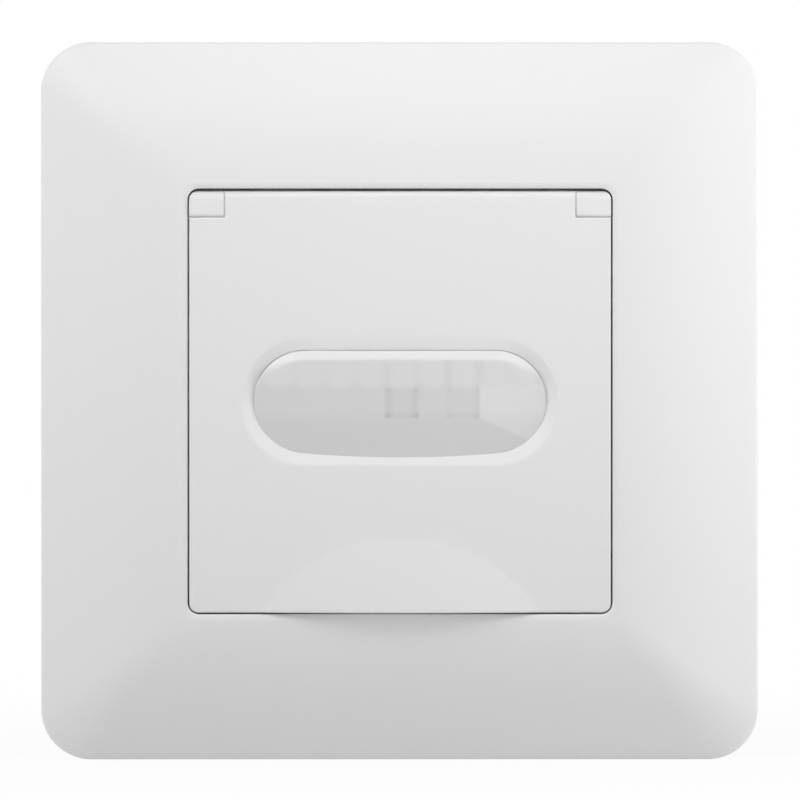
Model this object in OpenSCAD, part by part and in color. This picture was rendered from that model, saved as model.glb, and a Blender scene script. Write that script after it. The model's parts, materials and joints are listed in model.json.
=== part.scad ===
// Flush wall switch with a motion sensor: a cover plate, a hinged cover that carries the lens,
// a control panel under it, and a sensor unit that sits in the wall box. Sizes are in millimetres.
// The origin is the middle of the wall face: +X is right, +Z is up and +Y points into the wall.

/* [Cover plate] */
// Width and height of the square plate
plate_w = 80; // [78:0.5:86]
// Radius of the plate's outer corners
plate_r = 5.6; // [4:0.1:8]
// Distance from the wall to the rim of the opening
plate_depth = 9; // [8.6:0.1:11]
// Height of the plate's outer edge above the wall
plate_edge = 3.2; // [2.6:0.1:4]
// Thickness of the plate's wall
plate_wall = 1.8; // [1.4:0.1:2.2]
// Rounding of the plate's outer edge
edge_round = 0.6; // [0.3:0.1:0.9]
// Rounding of the rim of the opening
rim_round = 0.55; // [0.3:0.05:0.8]
// Thickness of the skirt that runs back from the rim
skirt_t = 1.2; // [0.9:0.1:1.6]

/* [Snap hooks] */
// Distance of the hooks from the plate's upright centre line
hook_x = 27.5; // [27:0.1:29]
// Distance of the hooks from the plate's level centre line
hook_z = 12; // [9:0.5:16]
// Width of a hook
hook_w = 5; // [3:0.5:7]
// Thickness of a hook
hook_t = 1.4; // [1:0.1:1.8]
// How far a barb stands out of its hook
barb = 0.6; // [0.5:0.05:0.8]
// Play of a hook in its window
hook_clear = 0.25; // [0.15:0.05:0.35]

/* [Hinged cover] */
// Width and height of the square cover
cover_w = 46.8; // [45.6:0.1:48]
// Gap between the cover and the plate
cover_gap = 0.28; // [0.22:0.02:0.4]
// Radius of the cover's corners
cover_r = 1; // [0.6:0.1:1.6]
// Thickness of the cover's face
cover_wall = 1.6; // [1.2:0.1:2]
// Thickness of the cover's side walls
cover_side = 1.3; // [1:0.1:1.8]
// Depth of the cover from its face to the back of its walls
cover_depth = 3.4; // [3.1:0.1:4.2]
// Radius of the hinge barrel and of the lugs
barrel_r = 1.45; // [1.2:0.05:1.6]
// Width of a hinge lug
lug_w = 3.85; // [3.2:0.05:4.6]
// Radius of a hinge pin
pin_r = 0.7; // [0.5:0.05:0.9]
// Length of a hinge pin
pin_l = 2.4; // [1.6:0.1:2.8]
// Play of a hinge pin in its lug
pin_clear = 0.05; // [0.02:0.01:0.1]
// Gap between a lug and the cover
hinge_gap = 0.2; // [0.12:0.02:0.4]
// Rounding of the hinge lugs' upper edge
lug_top_r = 1; // [0.6:0.1:1.2]
// Rounding of the hinge lugs' lower edge
lug_foot_r = 0.45; // [0.3:0.05:0.8]

/* [Finger lip] */
// Radius of the arc that bounds the lip
lip_r = 19; // [15:0.5:22]
// Height of the arc above the foot of the cover
lip_h = 8.3; // [6:0.1:10]
// How far the lip stands out at the foot of the cover
lip_proud = 2; // [1:0.1:2.6]

/* [Lens] */
// Width of the lens
lens_w = 32.9; // [28:0.1:34]
// Height of the lens at its ends
lens_h = 11.4; // [9:0.1:12]
// How far the lower edge bows down in the middle
lens_bow = 0.5; // [0.2:0.05:0.8]
// How far the lens's upper edge stands out of the cover's face
lens_proud = 0.8; // [0.5:0.1:1.4]
// Thickness of the lens
lens_wall = 0.9; // [0.6:0.1:1.2]
// Rounding of the lens's upper edge
lens_round = 1; // [0.5:0.1:1.4]
// Play of the lens in the cover
lens_clear = 0.12; // [0.06:0.02:0.2]
// Width of the slope round the lens
bevel_w = 1.3; // [0.8:0.1:1.8]
// Depth of the slope round the lens
bevel_depth = 0.8; // [0.4:0.1:1.1]
// Height of the lens's lower edge above the slope
lens_lift = 0.05; // [0:0.05:0.2]
// Number of lens cells in a row
lens_cells = 9; // [7:2:11]
// Width of the flange behind the cover
flange_w = 1.2; // [0.8:0.1:1.6]
// Thickness of the flange
flange_t = 0.6; // [0.4:0.1:0.9]
// Thickness of the retainer
retainer_t = 0.8; // [0.6:0.1:1]

/* [Support frame] */
// Gap between the support's edge and the plate's wall
support_gap = 2.2; // [1.5:0.1:4]
// Thickness of the support's sheet
support_t = 1.2; // [1:0.1:1.5]
// Distance between opposite wall box screws
screw_pitch = 60; // [59:0.1:61]
// Radius of the holes for the wall box screws
screw_hole_r = 1.9; // [1.7:0.1:2.2]
// Width and height of the window
window_w = 32; // [31:0.1:33]
// Radius of the corners of the support and of its window
window_r = 4; // [3.5:0.1:6]

/* [Front panel and controls] */
// Thickness of the panel
panel_t = 1.6; // [1.3:0.1:1.9]
// Distance of the dials from the upright centre line
dial_x = 11; // [10.6:0.1:11.6]
// Distance of the dials below the level centre line
dial_drop = 11.2; // [10.8:0.1:11.6]
// Radius of a dial
dial_r = 3.2; // [2.6:0.1:3.4]
// Radius of a dial's stem
stem_r = 1.4; // [1:0.1:1.8]
// Play of a dial's stem in its trimmer
stem_clear = 0.05; // [0.02:0.01:0.1]
// Distance of the mode slider below the level centre line
slider_drop = 12; // [11:0.1:12.6]
// Travel of the mode slider to each side
slider_travel = 2; // [1.2:0.1:2.2]
// Width of the mode slider's grip
grip_w = 3.2; // [2.4:0.1:3.6]
// Width of the panel's sensor window
well_w = 25; // [23.5:0.5:26]
// Height of the panel's sensor window
well_h = 11; // [10.2:0.1:11.4]

/* [Housing] */
// Width and height of the housing
housing_w = 44; // [42.5:0.1:45]
// Depth of the housing behind the wall face
housing_depth = 26; // [24.5:0.5:32]
// Thickness of the housing's walls
housing_wall = 1.6; // [1.2:0.1:1.9]
// Radius of the housing's corners
housing_r = 4; // [3:0.1:5]
// Distance of the case screws from both centre lines
case_screw_at = 17.5; // [17.1:0.1:17.9]
// Radius of a case screw's shank
case_screw_r = 1.25; // [1:0.05:1.4]
// Length of a case screw below its head
case_screw_l = 11; // [8:0.5:14]

/* [Terminals] */
// Distance between neighbouring terminals
cell_pitch = 9.5; // [9:0.1:9.8]
// Radius of a wire entry
wire_r = 1.65; // [1.4:0.05:1.8]
// Length of a wire entry
entry_l = 5.6; // [4:0.1:6]
// Travel of a release button
button_travel = 1.2; // [0.8:0.1:1.3]
// How far a release button stands out of its block
button_proud = 1; // [0.5:0.1:2]
// Play of a release button in its slot
button_clear = 0.15; // [0.1:0.05:0.3]

/* [Electronics] */
// Thickness of the boards
board_t = 1.6; // [1.2:0.1:1.8]
// Depth of the sensor board's face behind the wall face
board_y = 2.4; // [2:0.1:2.8]
// Height of the space between the boards
board_gap = 9; // [8.8:0.1:9.6]
// Radius of the sensor can
can_r = 4.6; // [4:0.1:4.7]
// Height of the sensor can
can_h = 4.4; // [3.6:0.1:4.8]
// Distance of the lamp and the light sensor from the sensor can's axis
lamp_x = 9.5; // [8.4:0.1:9.6]
// Radius of the lamp and of the light sensor
lamp_r = 1.5; // [1:0.1:1.6]

/* [Hidden] */
$fn = 72;
fine = 480;

eps = 0.05;
past = 1;
far = 60;
seat_gap = 0.3;

white = [0.9, 0.9, 0.9];
frosted = [0.82, 0.82, 0.82];
zinc = [0.66, 0.67, 0.69];
board_green = [0.09, 0.32, 0.16];
brass = [0.78, 0.62, 0.3];
dark = [0.08, 0.08, 0.09];
grey = [0.42, 0.43, 0.45];

// Plate
opening_w = cover_w + 2 * cover_gap;
opening_r = cover_r + cover_gap;
rise = plate_depth - plate_edge;
crown_from = plate_w / 2 - edge_round / 2;
crown_to = opening_w / 2 + rim_round;
crown_slope = atan(1.5 * rise / (crown_from - crown_to));
arc_steps = 8;
edge_steps = 4;
crown_steps = 10;
skirt_back = -support_t - seat_gap;
hook_tip = 0.8;

// Support
support_w = plate_w - 2 * (plate_wall + support_gap);

// Cover and hinge
cover_face = -plate_depth;
cover_inner = cover_face + cover_wall;
hinge_y = cover_face + barrel_r;
hinge_z = cover_w / 2 - barrel_r;
lug_in = cover_w / 2 - lug_w;
barrel_half = lug_in - hinge_gap;
notch_z = hinge_z - barrel_r - hinge_gap;
lug_foot_z = hinge_z - barrel_r;
lug_reach = (barrel_r - lug_foot_r) * sqrt(2) + lug_foot_r;
lip_centre_z = -cover_w / 2 + lip_h - lip_r;
lip_root = 0.4;

// Lens
lens_front = cover_face - lens_proud;
lens_end_x = (lens_w - lens_h) / 2;
lens_foot = lens_h / 2 + lens_bow;
lens_brow = lens_h / 2 - lens_round;
bow_rise = bevel_depth * lens_bow / bevel_w;
lens_foot_y = cover_face + bevel_depth - bow_rise - lens_lift;
lens_tilt = atan((lens_foot_y - lens_front) / (lens_brow + lens_foot));
lens_sag = bow_rise + lens_bow * tan(lens_tilt);
lens_curve = (pow(lens_end_x, 2) + pow(lens_sag, 2)) / (2 * lens_sag);
bow_inset = 0.25;
bow_half = lens_end_x - bow_inset;
bow_r = (pow(lens_end_x, 2) + pow(lens_bow, 2)) / (2 * lens_bow);
cell_w = 3.4;
cell_h = 3.2;
groove_w = 0.24;
groove_t = 0.18;
round_steps = 4;
slope_over = 0.2;
flange_back = cover_inner + flange_t;
retainer_back = flange_back + retainer_t;
stake_r = 0.8;
stake_clear = 0.06;
stake_x = 8;
stake_rim = 0.9;
stake_gap = 0.25;
stake_z = lens_foot + flange_w + stake_gap + stake_r;
stake_head = 0.3;

// Panel and controls
panel_front = -support_t - panel_t;
panel_inset = 0.2;
panel_w = cover_w - 2 * panel_inset;
well_t = 1.2;
well_gap = 0.8;
well_front = retainer_back + stake_head + well_gap;
dial_play = 0.15;
dial_proud = 0.4;
dial_rim = 0.6;
rim_play = 0.15;
rim_t = 0.65;
rim_front = -support_t + rim_play;
rim_back = rim_front + rim_t;
dial_slot = 0.9;
dial_slot_depth = 0.9;
dial_slot_rim = 0.65;
pointer_rim = 1.3;
trimmer_w = 6.4;
trimmer_gap = 0.6;
trimmer_front = rim_back + trimmer_gap;
trimmer_floor = 0.5;
stem_gap = 0.15;
stem_end = board_y - trimmer_floor - stem_gap;
grip_h = 2.4;
grip_proud = 0.8;
grip_grooves = 3;
grip_groove_pitch = 0.9;
grip_groove_w = 0.4;
grip_groove_t = 0.3;
slider_play = 0.2;
slider_base_w = 9;
slider_base_h = 3.8;
slider_stem_w = 1.8;
slider_stem_h = 1.6;
switch_w = 10.4;
switch_h = 4;
peg_r = 1.2;
peg_x = 12.5;
peg_z = 10.5;
screw_head_r = 2.2;
screw_head_h = 1.3;
screw_sink = 0.9;
screw_seat = panel_front + screw_sink;
screw_play = 0.15;
thread_play = 0.05;
screw_slot_w = 0.6;
screw_slot_l = 3.1;
screw_slot_depth = 0.6;
pilot_spare = 2.9;

// Housing and boards
inner_w = housing_w - 2 * housing_wall;
floor_y = housing_depth - housing_wall;
post_r = 2.4;
board_back = board_y + board_t;
power_y = board_back + board_gap;
power_back = power_y + board_t;
board_play = 0.4;
sensor_board_w = inner_w - 2 * board_play;
sensor_board_h = 28;
power_inset = 2;
power_board_w = inner_w - 2 * power_inset;
post_gap = 0.3;
post_room = case_screw_at - post_r - post_gap;
ledge_w = 12;
ledge_h = 1.4;
sensor_ledge = 1.5;
power_ledge = 3.2;
spacer_h = 0.8;
can_front = board_y - spacer_h - can_h;
can_flange_w = 0.3;
can_flange_r = can_r + can_flange_w;
can_flange_t = 0.5;
glass_w = 4.2;
glass_h = 3.2;
glass_t = 0.3;
lamp_h = 3.4;
lamp_flange = 0.3;
lamp_base = 1;
pin_count = 6;
pin_pitch = 2.54;
pin_w = 0.64;
header_z = -12.2;
header_h = 2.5;

// Parts on the power board
relay_size = [20, 8.8, 10];
relay_at = [-5, 10];
film_size = [6, 8.4, 13];
film_at = [11, 7.5];
smoothing_r = 4;
smoothing_h = 8.4;
smoothing_at = [-11, -3];
varistor_r = 3.9;
varistor_t = 3;
varistor_at = [-2.5, -3.5];
fuse_r = 1.6;
fuse_l = 10;
fuse_cap = 1.6;
fuse_cap_t = 0.2;
fuse_at = [8, -5];

// Terminals
block_seat = 0.2;
block_proud = 0.6;
block_end = 0.75;
block_front = power_back + block_seat;
block_back = housing_depth + block_proud;
block_w = 3 * cell_pitch + 2 * block_end;
block_h = 15.6;
block_z = -6;
block_play = 0.15;
shoulder = 1;
shoulder_t = 1.2;
pocket_w = 6.8;
pocket_h = 12.4;
pocket_back = block_back - entry_l;
entry_off = 3.4;
entry_z = block_z - entry_off;
slot_w = 4.4;
slot_h = 4.4;
slot_z = block_z + entry_off;
ear_w = 0.6;
ear_h = 2.8;
ear_t = 0.8;
button_tip = pocket_back - ear_t - button_clear;
button_foot = slot_z - slot_h / 2 + button_clear;
clamp_w = 5.2;
clamp_t = 0.7;
clamp_foot = 7.4;
clamp_gap = 0.3;
clamp_z = block_z - pocket_h / 2 + clamp_gap;
clamp_end = 0.4;
clamp_back = pocket_back - clamp_end;
spring_w = 4.4;
spring_t = 0.35;
spring_gap = 0.1;
spring_top = block_z + pocket_h / 2 - spring_gap;
spring_inner = spring_top - spring_t;
leaf_drop = 1.3;
leaf_foot = block_z - leaf_drop;
leaf_lean = 0.3;
leaf_gap = 0.15;
leaf_w = spring_t * sqrt(1 + pow(leaf_lean, 2));
leaf_y = button_tip - button_travel - leaf_gap;

function leaf_at(z) = leaf_y + (button_foot - z) * leaf_lean;
function mix(a, b, t) = a + (b - a) * t;
function crown(t) = plate_edge + rise * (1.5 * t - 0.5 * pow(t, 3));
function crown_at(s) = crown(min(1, max(0, (crown_from - s) / (crown_from - crown_to))));
function ring_r(s) = mix(plate_r, opening_r, (plate_w - 2 * s) / (plate_w - opening_w));
function ring(p) = [
    for (c = [0:3], k = [0:arc_steps])
        let (a = 90 * (c + k / arc_steps), q = 90 * c + 45)
        [
            sign(cos(q)) * (p[0] - ring_r(p[0])) + ring_r(p[0]) * cos(a),
            p[1],
            sign(sin(q)) * (p[0] - ring_r(p[0])) + ring_r(p[0]) * sin(a)
        ]
];

module block(x0, x1, y0, y1, z0, z1) {
    translate([x0, y0, z0]) cube([x1 - x0, y1 - y0, z1 - z0]);
}

module box_at(x, z, w, h, y0, y1) {
    block(x - w / 2, x + w / 2, y0, y1, z - h / 2, z + h / 2);
}

module rod_y(r, y0, y1, x = 0, z = 0) {
    translate([x, y1, z]) rotate([90, 0, 0]) cylinder(r = r, h = y1 - y0);
}

module rod_x(r, x0, x1, y, z) {
    translate([x0, y, z]) rotate([0, 90, 0]) cylinder(r = r, h = x1 - x0);
}

module slab(w, h, r, y0, y1) {
    box_at(0, 0, w - 2 * r, h, y0, y1);
    box_at(0, 0, w, h - 2 * r, y0, y1);
    for (sx = [-1, 1], sz = [-1, 1]) rod_y(r, y0, y1, sx * (w / 2 - r), sz * (h / 2 - r));
}

module stadium(w, h, y0, y1) {
    box_at(0, 0, w - h, h, y0, y1);
    for (sx = [-1, 1]) rod_y(h / 2, y0, y1, sx * (w - h) / 2, 0);
}

module prism_x(x0, x1, outline) {
    translate([x0, 0, 0]) rotate([90, 0, 90]) linear_extrude(x1 - x0) polygon(outline);
}

module corners(at) {
    for (sx = [-1, 1], sz = [-1, 1]) translate([sx * at, 0, sz * at]) children();
}

module cells() {
    for (i = [-1:1]) translate([i * cell_pitch, 0, 0]) children();
}

// Cover plate: a hollow pillow whose rings run from the wall over the crown and back down the opening
module plate_shell() {
    edge_turn = 90 - crown_slope;
    edge_y = plate_edge - edge_round * sin(edge_turn);
    outer = plate_w / 2;
    inner = plate_w / 2 - plate_wall;
    skirt = opening_w / 2 + skirt_t;
    profile = concat(
        [[outer, 0]],
        [for (k = [0:edge_steps])
            let (a = edge_turn * k / edge_steps)
            [outer - edge_round * (1 - cos(a)), -edge_y - edge_round * sin(a)]],
        [for (k = [1:crown_steps])
            let (s = mix(outer - edge_round * (1 - cos(edge_turn)), crown_to, k / crown_steps))
            [s, -crown_at(s)]],
        [for (k = [1:edge_steps])
            let (a = 90 * k / edge_steps)
            [crown_to - rim_round * sin(a), cover_face + rim_round * (1 - cos(a))]],
        [[opening_w / 2, skirt_back], [skirt, skirt_back]],
        [for (k = [0:crown_steps])
            let (s = mix(skirt, inner, k / crown_steps))
            [s, plate_wall - crown_at(s)]],
        [[inner, 0]]
    );
    rings = len(profile);
    n = 4 * (arc_steps + 1);
    polyhedron(
        points = [for (p = profile) each ring(p)],
        faces = [for (i = [0:rings - 1], j = [0:n - 1])
            let (a = i * n + j, b = i * n + (j + 1) % n)
            let (c = ((i + 1) % rings) * n + (j + 1) % n, d = ((i + 1) % rings) * n + j)
            each [[a, c, b], [a, d, c]]]
    );
}

module hook() {
    leg_front = -crown_at(hook_x) + plate_wall / 2;
    tip = barb + hook_tip;
    block(-hook_t / 2, hook_t / 2, leg_front, tip, -hook_w / 2, hook_w / 2);
    translate([0, 0, -hook_w / 2]) linear_extrude(hook_w)
        polygon([[0, hook_clear], [hook_t / 2 + barb, hook_clear], [hook_t / 2, tip], [0, tip]]);
}

module cover_plate() {
    color(white) {
        plate_shell();
        for (m = [0, 1], sz = [-1, 1]) mirror([m, 0, 0]) translate([hook_x, 0, sz * hook_z]) hook();
    }
}

// Support frame: stamped sheet on the wall with the screw holes, the hooks' windows and a large window
module support_frame() {
    room_w = hook_t + 2 * hook_clear;
    room_h = hook_w + 2 * hook_clear;
    color(zinc) difference() {
        slab(support_w, support_w, window_r, -support_t, 0);
        slab(window_w, window_w, window_r, -support_t - eps, eps);
        corners(case_screw_at) rod_y(case_screw_r + screw_play, -support_t - eps, eps);
        for (a = [0:90:270]) rotate([0, a, 0])
            translate([screw_pitch / 2, 0, 0]) rod_y(screw_hole_r, -support_t - eps, eps);
        for (sx = [-1, 1], sz = [-1, 1])
            box_at(sx * hook_x, sz * hook_z, room_w, room_h, -support_t - eps, eps);
    }
}

// Front panel: holds the hinge lugs, the light well round the sensor and the controls
module hinge_lug() {
    round_at = cover_w / 2 - cover_r;
    difference() {
        union() {
            block(lug_in, cover_w / 2, cover_face, panel_front + eps,
                lug_foot_z + lug_foot_r, cover_w / 2 - lug_top_r);
            block(lug_in, cover_w / 2, cover_face + lug_top_r, panel_front + eps, hinge_z, cover_w / 2);
            block(lug_in, cover_w / 2, cover_face + lug_foot_r, panel_front + eps, lug_foot_z, hinge_z);
            rod_x(lug_top_r, lug_in, cover_w / 2, cover_face + lug_top_r, cover_w / 2 - lug_top_r);
            rod_x(lug_foot_r, lug_in, cover_w / 2, cover_face + lug_foot_r, lug_foot_z + lug_foot_r);
        }
        rod_x(pin_r + pin_clear, lug_in - eps, lug_in + pin_l + hinge_gap, hinge_y, hinge_z);
        difference() {
            block(round_at, cover_w, cover_face - eps, 0, round_at, cover_w);
            rod_y(cover_r, cover_face - 2 * eps, eps, round_at, round_at);
        }
    }
}

module front_panel() {
    grip_room = grip_w + 2 * slider_travel + 2 * slider_play;
    color(white) difference() {
        union() {
            slab(panel_w, panel_w, cover_r, panel_front, -support_t);
            for (m = [0, 1]) mirror([m, 0, 0]) hinge_lug();
            stadium(well_w + 2 * well_t, well_h + 2 * well_t, well_front, -support_t);
            for (sx = [-1, 1]) rod_y(peg_r, panel_front + eps, board_y, sx * peg_x, peg_z);
        }
        stadium(well_w, well_h, well_front - eps, eps);
        for (sx = [-1, 1])
            rod_y(dial_r + dial_play, panel_front - eps, eps, sx * dial_x, -dial_drop);
        box_at(0, -slider_drop, grip_room, grip_h + 2 * slider_play, panel_front - eps, eps);
        corners(case_screw_at) {
            rod_y(case_screw_r + screw_play, panel_front - eps, eps);
            rod_y(screw_head_r + screw_play, panel_front - eps, panel_front + screw_sink);
        }
    }
}

// Hinged cover: shallow tray with a barrel along its top, the lens recess and the finger lip
module lens_prism(grow, y0, y1) {
    stadium(lens_w + 2 * grow, lens_h + 2 * grow, y0, y1);
    intersection() {
        rod_y(bow_r + grow, y0, y1, 0, bow_r - lens_foot, $fn = fine);
        block(-bow_half, bow_half, y0, y1, -lens_foot - grow - past, 0);
    }
}

module lens_slope() {
    foot = lens_h / 2 + lens_clear;
    mouth = foot + bevel_w * (1 + slope_over / bevel_depth);
    y0 = cover_face - slope_over;
    y1 = cover_face + bevel_depth;
    for (sx = [-1, 1]) translate([sx * lens_end_x, y1, 0]) rotate([90, 0, 0])
        cylinder(r1 = foot, r2 = mouth, h = y1 - y0);
    prism_x(-lens_end_x, lens_end_x, [[y0, -mouth], [y1, -foot], [y1, foot], [y0, mouth]]);
}

module finger_lip() {
    flare = lip_h / lip_proud;
    intersection() {
        translate([0, cover_face + lip_root, lip_centre_z]) rotate([90, 0, 0])
            cylinder(r1 = lip_r + lip_root * flare, r2 = lip_r - lip_h, h = lip_proud + lip_root);
        slab(cover_w, cover_w, cover_r, cover_face - lip_proud, cover_face + lip_root);
    }
}

module cover_tray() {
    room = cover_w / 2 - cover_side;
    intersection() {
        difference() {
            slab(cover_w, cover_w, cover_r, cover_face, cover_face + cover_depth);
            block(-room, room, cover_inner, far, -room, far);
        }
        block(-far, far, -far, far, -far, hinge_z);
    }
}

module hinged_cover() {
    color(white) {
        difference() {
            union() {
                cover_tray();
                finger_lip();
                for (sx = [-1, 1], sz = [-1, 1])
                    rod_y(stake_r, cover_inner - eps, retainer_back + stake_head,
                        sx * stake_x, sz * stake_z);
            }
            for (m = [0, 1]) mirror([m, 0, 0]) {
                translate([barrel_half + far / 2, 0, notch_z + far / 2]) cube(far, center = true);
                rod_x(lug_reach + hinge_gap, barrel_half, cover_w, hinge_y, hinge_z);
            }
            lens_prism(lens_clear, cover_face - far, cover_inner + eps);
            lens_slope();
        }
        rod_x(barrel_r, -barrel_half, barrel_half, hinge_y, hinge_z);
        rod_x(pin_r, -barrel_half - pin_l, barrel_half + pin_l, hinge_y, hinge_z);
    }
}

// Lens: a drum that leans out at its rounded upper edge, with shallow cells on its inner face
module lens_lean() {
    translate([0, lens_front, lens_brow]) rotate([lens_tilt, 0, 0]) translate([0, lens_curve, 0]) children();
}

module lens_body() {
    intersection() {
        lens_prism(0, lens_front - past, cover_inner + eps);
        lens_drum(lens_curve);
        intersection_for (k = [1:round_steps - 1]) {
            turn = 90 * k / round_steps;
            mid_r = lens_curve - lens_round * (1 - cos(turn));
            mid_z = lens_round * sin(turn);
            lens_lean() translate([0, 0, -2 * lens_h]) cylinder(
                r1 = mid_r + (mid_z + 2 * lens_h) * tan(turn),
                r2 = mid_r - (lens_h - mid_z) * tan(turn),
                h = 3 * lens_h,
                $fn = fine
            );
        }
    }
}

module lens_drum(r) {
    lens_lean() translate([0, 0, -2 * lens_h]) cylinder(r = r, h = 3 * lens_h, $fn = fine);
}

module lens_grooves() {
    inner_r = lens_curve - lens_wall;
    intersection() {
        lens_prism(-lens_wall, lens_front, flange_back);
        lens_lean() {
            for (i = [1:lens_cells - 1])
                rotate([0, 0, asin((i - lens_cells / 2) * cell_w / inner_r)])
                    translate([-groove_w / 2, -inner_r - groove_t, -2 * lens_h])
                        cube([groove_w, groove_t + eps, 3 * lens_h]);
            for (s = [-1, 1]) translate([0, 0, s * cell_h / 2 - groove_w / 2 - lens_brow])
                cylinder(r = inner_r + groove_t, h = groove_w, $fn = fine);
        }
    }
}

module fresnel_lens() {
    color(frosted) difference() {
        union() {
            lens_body();
            lens_prism(flange_w, cover_inner, flange_back);
        }
        intersection() {
            lens_prism(-lens_wall, lens_front - past, flange_back + eps);
            lens_drum(lens_curve - lens_wall);
        }
        lens_grooves();
    }
}

module lens_retainer() {
    color(grey) difference() {
        stadium(lens_w + 2 * flange_w, 2 * (stake_z + stake_r + stake_rim),
            flange_back, retainer_back);
        lens_prism(-lens_wall, flange_back - eps, retainer_back + eps);
        for (sx = [-1, 1], sz = [-1, 1])
            rod_y(stake_r + stake_clear, flange_back - eps, retainer_back + eps,
                sx * stake_x, sz * stake_z);
    }
}

// Rear housing: open at the front, with screw posts, board ledges and the terminals' window in its floor
module rear_housing() {
    color(grey) difference() {
        union() {
            difference() {
                slab(housing_w, housing_w, housing_r, 0, housing_depth);
                slab(inner_w, inner_w, housing_r - housing_wall, -eps, floor_y);
            }
            corners(case_screw_at) rod_y(post_r, 0, floor_y + eps);
            for (m = [0, 1]) mirror([m, 0, 0]) {
                block(inner_w / 2 - sensor_ledge, inner_w / 2 + eps, board_back, board_back + ledge_h,
                    -ledge_w / 2, ledge_w / 2);
                block(inner_w / 2 - power_ledge, inner_w / 2 + eps, power_back, power_back + ledge_h,
                    -ledge_w / 2, ledge_w / 2);
            }
        }
        corners(case_screw_at)
            rod_y(case_screw_r + thread_play, -eps, screw_seat + case_screw_l + pilot_spare);
        box_at(0, block_z, block_w + 2 * block_play, block_h + 2 * block_play,
            floor_y - eps, housing_depth + eps);
    }
}

module case_screws() {
    color(zinc) corners(case_screw_at) difference() {
        union() {
            rod_y(screw_head_r, screw_seat - screw_head_h, screw_seat);
            rod_y(case_screw_r, screw_seat - eps, screw_seat + case_screw_l);
        }
        for (a = [0, 90]) rotate([0, a, 0])
            box_at(0, 0, screw_slot_l, screw_slot_w, -far,
                screw_seat - screw_head_h + screw_slot_depth);
    }
}

// Boards and what they carry
module sensor_board() {
    color(board_green) box_at(0, 0, sensor_board_w, sensor_board_h, board_y, board_back);
}

module power_board() {
    color(board_green) {
        box_at(0, 0, power_board_w, 2 * post_room, power_y, power_back);
        box_at(0, 0, 2 * post_room, power_board_w, power_y, power_back);
    }
}

module board_header() {
    color(dark)
        box_at(0, header_z, pin_count * pin_pitch, pin_pitch, board_back, board_back + header_h);
}

module board_pins() {
    color(brass) for (i = [0:pin_count - 1])
        box_at((i - (pin_count - 1) / 2) * pin_pitch, header_z, pin_w, pin_w,
            board_back + header_h, power_y);
}

module pir_can() {
    color(zinc) difference() {
        union() {
            rod_y(can_r, can_front, board_y - spacer_h);
            rod_y(can_flange_r, board_y - spacer_h - can_flange_t, board_y - spacer_h);
        }
        box_at(0, 0, glass_w, glass_h, can_front - eps, can_front + glass_t);
    }
}

module pir_window() {
    color(dark) box_at(0, 0, glass_w, glass_h, can_front, can_front + glass_t);
}

module pir_spacer() {
    color(dark) rod_y(can_r, board_y - spacer_h, board_y);
}

module status_led() {
    color([0.75, 0.15, 0.12]) translate([-lamp_x, 0, 0]) {
        rod_y(lamp_r, board_y - lamp_h + lamp_r, board_y);
        rod_y(lamp_r + lamp_flange, board_y - lamp_base, board_y);
        translate([0, board_y - lamp_h + lamp_r, 0]) sphere(r = lamp_r);
    }
}

module light_sensor() {
    color([0.8, 0.82, 0.86]) translate([lamp_x, 0, 0]) {
        rod_y(lamp_r, board_y - lamp_h, board_y);
        rod_y(lamp_r + lamp_flange, board_y - lamp_base, board_y);
    }
}

module trimmer() {
    difference() {
        box_at(0, -dial_drop, trimmer_w, trimmer_w, trimmer_front, board_y);
        rod_y(stem_r + stem_clear, trimmer_front - eps, board_y - trimmer_floor, 0, -dial_drop);
    }
}

module dial() {
    slot_floor = panel_front - dial_proud + dial_slot_depth;
    translate([0, 0, -dial_drop]) difference() {
        union() {
            rod_y(dial_r, panel_front - dial_proud, rim_back);
            rod_y(dial_r + dial_rim, rim_front, rim_back);
            rod_y(stem_r, rim_back - eps, stem_end);
        }
        box_at(0, 0, 2 * (dial_r - dial_slot_rim), dial_slot, -far, slot_floor);
        box_at(0, dial_r - pointer_rim, dial_slot, dial_slot, -far, slot_floor);
    }
}

module time_trimmer() {
    color([0.1, 0.25, 0.6]) translate([-dial_x, 0, 0]) trimmer();
}

module lux_trimmer() {
    color([0.1, 0.25, 0.6]) translate([dial_x, 0, 0]) trimmer();
}

module time_dial() {
    color(grey) translate([-dial_x, 0, 0]) dial();
}

module lux_dial() {
    color(grey) translate([dial_x, 0, 0]) dial();
}

module mode_switch() {
    stroke = slider_stem_w + 2 * slider_travel + 2 * slider_play;
    color(dark) difference() {
        box_at(0, -slider_drop, switch_w, switch_h, trimmer_front, board_y);
        box_at(0, -slider_drop, stroke, slider_stem_h + 2 * slider_play,
            trimmer_front - eps, board_y - trimmer_floor);
    }
}

module mode_slider() {
    grip_front = panel_front - grip_proud;
    color(grey) translate([0, 0, -slider_drop]) difference() {
        union() {
            box_at(0, 0, grip_w, grip_h, grip_front, rim_back);
            box_at(0, 0, slider_base_w, slider_base_h, rim_front, rim_back);
            box_at(0, 0, slider_stem_w, slider_stem_h, rim_back - eps, stem_end);
        }
        for (i = [0:grip_grooves - 1])
            box_at((i - (grip_grooves - 1) / 2) * grip_groove_pitch, 0, grip_groove_w, far,
                grip_front - eps, grip_front + grip_groove_t);
    }
}

module relay() {
    color([0.05, 0.12, 0.35])
        box_at(relay_at[0], relay_at[1], relay_size[0], relay_size[2], power_y - relay_size[1], power_y);
}

module film_capacitor() {
    color([0.75, 0.65, 0.1])
        box_at(film_at[0], film_at[1], film_size[0], film_size[2], power_y - film_size[1], power_y);
}

module smoothing_capacitor() {
    color(dark) rod_y(smoothing_r, power_y - smoothing_h, power_y, smoothing_at[0], smoothing_at[1]);
}

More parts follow.
